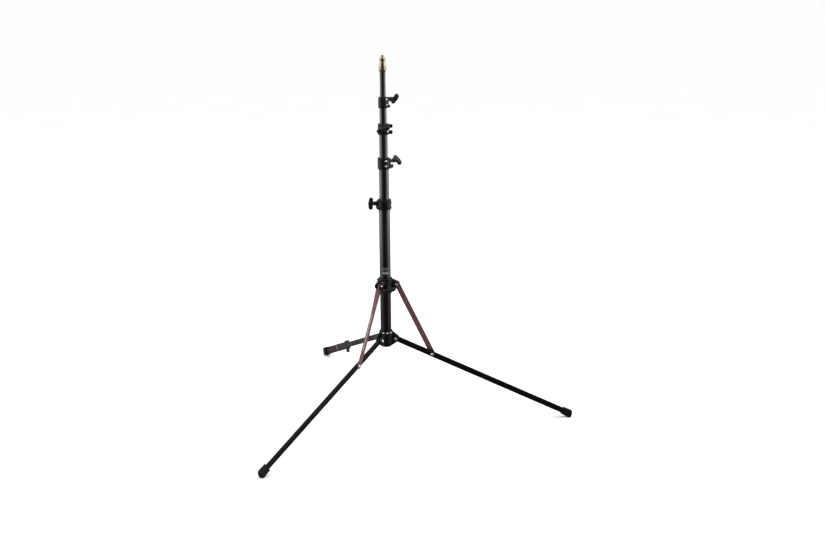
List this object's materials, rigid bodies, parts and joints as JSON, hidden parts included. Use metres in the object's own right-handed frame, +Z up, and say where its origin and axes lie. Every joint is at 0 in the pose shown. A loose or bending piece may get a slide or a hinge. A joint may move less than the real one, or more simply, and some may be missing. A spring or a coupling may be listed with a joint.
{
  "type": "lighting stand",
  "caption": "Compact reverse-folding lighting stand with a telescoping column, clamp collars with T-knobs, three braced legs and a levelling leg.",
  "frame": {"origin": "on the floor, under the middle of the whole stand's box; the column stands 129 mm from it towards -Y", "axes": "+Z up along the column; the levelling leg points to +Y, the other two legs to 210 and 330 degrees from +X"},
  "size_m": [0.9146, 0.7932, 0.9989],
  "materials": {
    "black_anodised": "satin black anodised tube",
    "black_casting": "fine-textured black powder coat on a die casting",
    "red_anodised": "satin dark red anodised bar",
    "spigot_brass": "turned, yellow-passivated stud",
    "chromed_steel": "bright rivet and screw heads",
    "steel": "plated screw",
    "knob_plastic": "moulded black nylon",
    "bush_plastic": "moulded black acetal",
    "foot_rubber": "moulded black rubber"
  },
  "bodies": {
    "base": {"base_tube": "black_anodised", "lower_hub": "black_casting", "hub_screw": "chromed_steel", "hub_plug": "bush_plastic", "collar_1": "black_casting", "collar_1_bush": "bush_plastic", "collar_1_rivet": "chromed_steel", "right_leg_pin": "chromed_steel", "levelling_leg_pin": "chromed_steel", "left_leg_pin": "chromed_steel"},
    "riser_1_guide": {"riser_1_guide": "bush_plastic"},
    "riser_1": {"riser_1_tube": "black_anodised", "collar_2": "black_casting", "collar_2_bush": "bush_plastic", "collar_2_rivet": "chromed_steel"},
    "riser_2_guide": {"riser_2_guide": "bush_plastic"},
    "riser_2": {"riser_2_tube": "black_anodised", "collar_3": "black_casting", "collar_3_bush": "bush_plastic", "collar_3_rivet": "chromed_steel"},
    "riser_3_guide": {"riser_3_guide": "bush_plastic"},
    "riser_3": {"riser_3_tube": "black_anodised", "collar_4": "black_casting", "collar_4_bush": "bush_plastic", "collar_4_rivet": "chromed_steel"},
    "riser_4_guide": {"riser_4_guide": "bush_plastic"},
    "riser_4": {"riser_4_tube": "black_anodised", "spigot_shoulder": "spigot_brass", "spigot": "spigot_brass"},
    "collar_1_knob": {"collar_1_knob": "knob_plastic", "collar_1_knob_screw": "steel"},
    "collar_2_knob": {"collar_2_knob": "knob_plastic", "collar_2_knob_screw": "steel"},
    "collar_3_knob": {"collar_3_knob": "knob_plastic", "collar_3_knob_screw": "steel"},
    "collar_4_knob": {"collar_4_knob": "knob_plastic", "collar_4_knob_screw": "steel"},
    "levelling_leg": {"levelling_leg": "black_anodised", "levelling_leg_rivet": "chromed_steel"},
    "right_leg": {"right_leg": "black_anodised", "right_leg_rivet": "chromed_steel", "right_foot": "foot_rubber"},
    "left_leg": {"left_leg": "black_anodised", "left_leg_rivet": "chromed_steel", "left_foot": "foot_rubber"},
    "slider": {"slider_collar": "black_casting", "slider_bush": "bush_plastic", "right_brace_pin": "chromed_steel", "levelling_brace_pin": "chromed_steel", "left_brace_pin": "chromed_steel"},
    "slider_knob": {"slider_knob": "knob_plastic", "slider_knob_screw": "steel"},
    "levelling_brace": {"levelling_brace": "red_anodised"},
    "right_brace": {"right_brace": "red_anodised"},
    "left_brace": {"left_brace": "red_anodised"},
    "levelling_sleeve": {"levelling_sleeve": "black_anodised", "levelling_clamp": "black_casting", "levelling_foot": "foot_rubber"},
    "levelling_knob": {"levelling_knob": "knob_plastic", "levelling_knob_screw": "steel"}
  },
  "joints": [
    {"name": "riser_1_slide", "type": "slide", "parent": "base", "child": "riser_1_guide", "axis": [0, 0, 1], "range_m": [-0.0818, 0.236]},
    {"name": "riser_1_turn", "type": "hinge", "parent": "riser_1_guide", "child": "riser_1", "pos_m": [0, -0.12926, 0.2965], "axis": [0, 0, 1], "continuous": true},
    {"name": "riser_2_slide", "type": "slide", "parent": "riser_1", "child": "riser_2_guide", "axis": [0, 0, 1], "range_m": [-0.061, 0.272]},
    {"name": "riser_2_turn", "type": "hinge", "parent": "riser_2_guide", "child": "riser_2", "pos_m": [0, -0.12926, 0.3742], "axis": [0, 0, 1], "continuous": true},
    {"name": "riser_3_slide", "type": "slide", "parent": "riser_2", "child": "riser_3_guide", "axis": [0, 0, 1], "range_m": [-0.0399, 0.307]},
    {"name": "riser_3_turn", "type": "hinge", "parent": "riser_3_guide", "child": "riser_3", "pos_m": [0, -0.12926, 0.4308], "axis": [0, 0, 1], "continuous": true},
    {"name": "riser_4_slide", "type": "slide", "parent": "riser_3", "child": "riser_4_guide", "axis": [0, 0, 1], "range_m": [-0.0653, 0.295]},
    {"name": "riser_4_turn", "type": "hinge", "parent": "riser_4_guide", "child": "riser_4", "pos_m": [0, -0.12926, 0.5128], "axis": [0, 0, 1], "continuous": true},
    {"name": "collar_1_knob_turn", "type": "hinge", "parent": "base", "child": "collar_1_knob", "pos_m": [-0.01953, -0.12493, 0.60524], "axis": [-0.9763, 0.2164, 0], "range_deg": [0, 360]},
    {"name": "collar_2_knob_turn", "type": "hinge", "parent": "riser_1", "child": "collar_2_knob", "pos_m": [0.01983, -0.12665, 0.71883], "axis": [0.9914, 0.1305, 0], "range_deg": [0, 360]},
    {"name": "collar_3_knob_turn", "type": "hinge", "parent": "riser_2", "child": "collar_3_knob", "pos_m": [-0.00765, -0.14774, 0.80927], "axis": [-0.3827, -0.9239, 0], "range_deg": [0, 360]},
    {"name": "collar_4_knob_turn", "type": "hinge", "parent": "riser_3", "child": "collar_4_knob", "pos_m": [0.01983, -0.12665, 0.88342], "axis": [0.9914, 0.1305, 0], "range_deg": [0, 360]},
    {"name": "levelling_leg_fold", "type": "hinge", "parent": "base", "child": "levelling_leg", "pos_m": [0, -0.10126, 0.219], "axis": [1, 0, 0], "range_deg": [0, 110.64]},
    {"name": "right_leg_fold", "type": "hinge", "parent": "base", "child": "right_leg", "pos_m": [0.02425, -0.14326, 0.219], "axis": [-0.5, -0.866, 0], "range_deg": [0, 110.64]},
    {"name": "left_leg_fold", "type": "hinge", "parent": "base", "child": "left_leg", "pos_m": [-0.02425, -0.14326, 0.219], "axis": [-0.5, 0.866, 0], "range_deg": [0, 110.64]},
    {"name": "slider_slide", "type": "slide", "parent": "base", "child": "slider", "axis": [0, 0, 1], "range_m": [0, 0.17729]},
    {"name": "slider_knob_turn", "type": "hinge", "parent": "slider", "child": "slider_knob", "pos_m": [-0.00278, -0.14906, 0.371], "axis": [-0.1392, -0.9903, 0], "range_deg": [0, 360]},
    {"name": "levelling_brace_fold", "type": "hinge", "parent": "slider", "child": "levelling_brace", "pos_m": [-0.0058, -0.09776, 0.3773], "axis": [-1, 0, 0], "range_deg": [0, 25.67]},
    {"name": "right_brace_fold", "type": "hinge", "parent": "slider", "child": "right_brace", "pos_m": [0.03018, -0.13999, 0.3773], "axis": [0.5, 0.866, 0], "range_deg": [0, 25.67]},
    {"name": "left_brace_fold", "type": "hinge", "parent": "slider", "child": "left_brace", "pos_m": [-0.02438, -0.15003, 0.3773], "axis": [0.5, -0.866, 0], "range_deg": [0, 25.67]},
    {"name": "levelling_sleeve_slide", "type": "slide", "parent": "levelling_leg", "child": "levelling_sleeve", "axis": [0, 0.9195, -0.393], "range_m": [0, 0.12]},
    {"name": "levelling_knob_turn", "type": "hinge", "parent": "levelling_sleeve", "child": "levelling_knob", "pos_m": [0, 0.18079, 0.07995], "axis": [0, -0.393, -0.9195], "range_deg": [0, 360]}
  ],
  "couplings": [
    {"joint": "right_leg_fold", "follows": "levelling_leg_fold", "ratio": 1},
    {"joint": "left_leg_fold", "follows": "levelling_leg_fold", "ratio": 1},
    {"joint": "slider_slide", "follows": "levelling_leg_fold", "m_per_rad": 0.091811},
    {"joint": "levelling_brace_fold", "follows": "levelling_leg_fold", "ratio": 0.23205},
    {"joint": "right_brace_fold", "follows": "levelling_leg_fold", "ratio": 0.23205},
    {"joint": "left_brace_fold", "follows": "levelling_leg_fold", "ratio": 0.23205}
  ]
}
